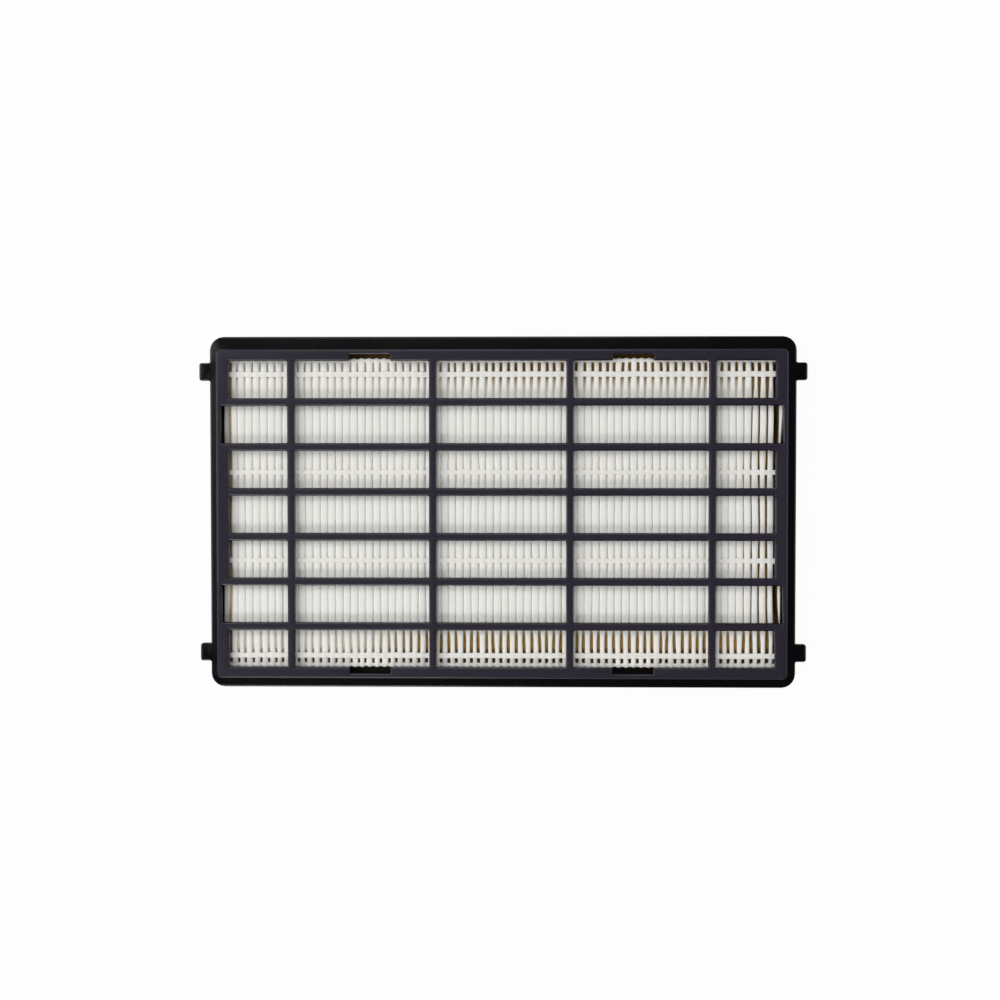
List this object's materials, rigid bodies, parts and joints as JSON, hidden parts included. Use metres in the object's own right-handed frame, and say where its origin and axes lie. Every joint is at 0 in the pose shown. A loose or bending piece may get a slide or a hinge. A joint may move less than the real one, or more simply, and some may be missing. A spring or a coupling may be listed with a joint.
{
  "type": "hepa filter panel",
  "caption": "Flat exhaust filter cassette: a moulded flanged frame with a grille front, holding a pleated paper pack with hot-melt spacers and a rear seal.",
  "frame": {"origin": "middle of the surface it lies on, under the rear seal", "axes": "+X along the long side, +Y along the pleats, +Z out of the grille front"},
  "size_m": [0.1922, 0.1112, 0.0209],
  "materials": {
    "frame_plastic": "charcoal moulded ABS, fine satin",
    "gasket_foam": "closed-cell black foam",
    "filter_paper": "off-white microfibre filter media, matt",
    "band_fleece": "white bonded fleece strip",
    "spacer_melt": "white set hot melt",
    "potting_melt": "amber set hot melt"
  },
  "bodies": {
    "root": {"cassette_frame": "frame_plastic", "flange_gasket": "gasket_foam", "pleated_media": "filter_paper", "end_band_top": "band_fleece", "end_band_bottom": "band_fleece", "potting_seal": "potting_melt", "front_spacer_bead_1": "spacer_melt", "front_spacer_bead_2": "spacer_melt", "front_spacer_bead_3": "spacer_melt", "front_spacer_bead_4": "spacer_melt", "rear_spacer_bead_1": "spacer_melt", "rear_spacer_bead_2": "spacer_melt", "rear_spacer_bead_3": "spacer_melt", "rear_spacer_bead_4": "spacer_melt"}
  },
  "joints": []
}
